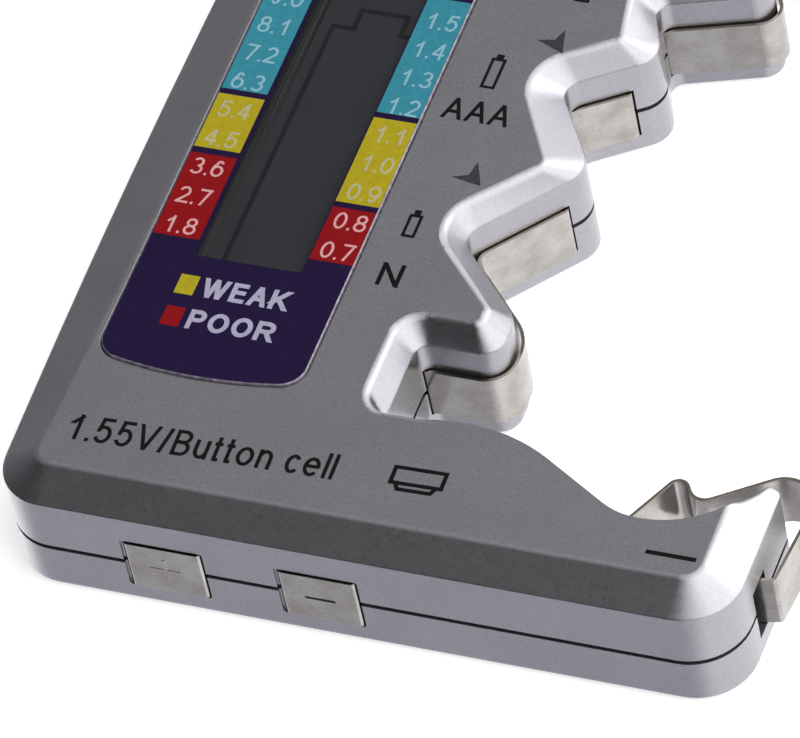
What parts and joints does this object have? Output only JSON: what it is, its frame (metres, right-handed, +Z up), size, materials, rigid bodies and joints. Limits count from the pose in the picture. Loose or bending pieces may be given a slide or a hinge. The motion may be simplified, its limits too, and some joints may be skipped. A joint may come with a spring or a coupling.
{
  "type": "battery tester",
  "caption": "Flat hand-held battery tester with stepped cell contacts, a sprung contact on a hook, nine-volt pads and a display under a printed plate.",
  "frame": {"origin": "middle of the bounding box, on the plane the case lies on", "axes": "+X to the right along the front wall, towards the hook; +Y up the length of the case, away from the nine-volt pads; +Z up, out of the display"},
  "size_m": [0.0656, 0.0878, 0.0122],
  "materials": {
    "silver_paint": "satin metallic paint on moulded plastic",
    "nickel": "satin nickel plate",
    "clear_plate": "gloss, printed from behind",
    "display_glass": "gloss",
    "polariser": "satin",
    "white_plastic": "matte",
    "rubber": "matte",
    "board": "solder mask",
    "epoxy": "gloss",
    "component": "matte",
    "ceramic": "satin",
    "red_insulation": "satin",
    "black_insulation": "satin",
    "screw_steel": "zinc plated"
  },
  "bodies": {
    "case": {"top_shell": "silver_paint", "bottom_shell": "silver_paint", "scale_plate": "clear_plate", "n_and_button_strip": "nickel", "aaa_strip": "nickel", "aa_c_d_strip": "nickel", "nine_volt_plus_pad": "nickel", "nine_volt_minus_pad": "nickel", "circuit_board": "board", "chip_cover": "epoxy", "load_resistors": "component", "small_resistors": "component", "capacitors": "ceramic", "plus_leads": "red_insulation", "minus_leads": "black_insulation", "case_screws": "screw_steel", "board_screws": "screw_steel", "display_rear_film": "polariser", "display_rear_glass": "display_glass", "display_front_glass": "display_glass", "display_front_film": "polariser", "rubber_connector": "rubber", "display_frame": "white_plastic"},
    "minus_contact": {"minus_spring": "nickel"},
    "button_contact": {"button_cell_spring": "nickel"}
  },
  "joints": [
    {"name": "minus_spring_flex", "type": "hinge", "parent": "case", "child": "minus_contact", "pos_m": [0.03009, -0.03621, 0.00455], "axis": [0, 0, 1], "range_deg": [0, 4], "stiffness_Nm_per_rad": 0.3},
    {"name": "button_spring_press", "type": "slide", "parent": "case", "child": "button_contact", "axis": [0, -1, 0], "range_m": [0, 0.0015], "stiffness_N_per_m": 1000}
  ]
}
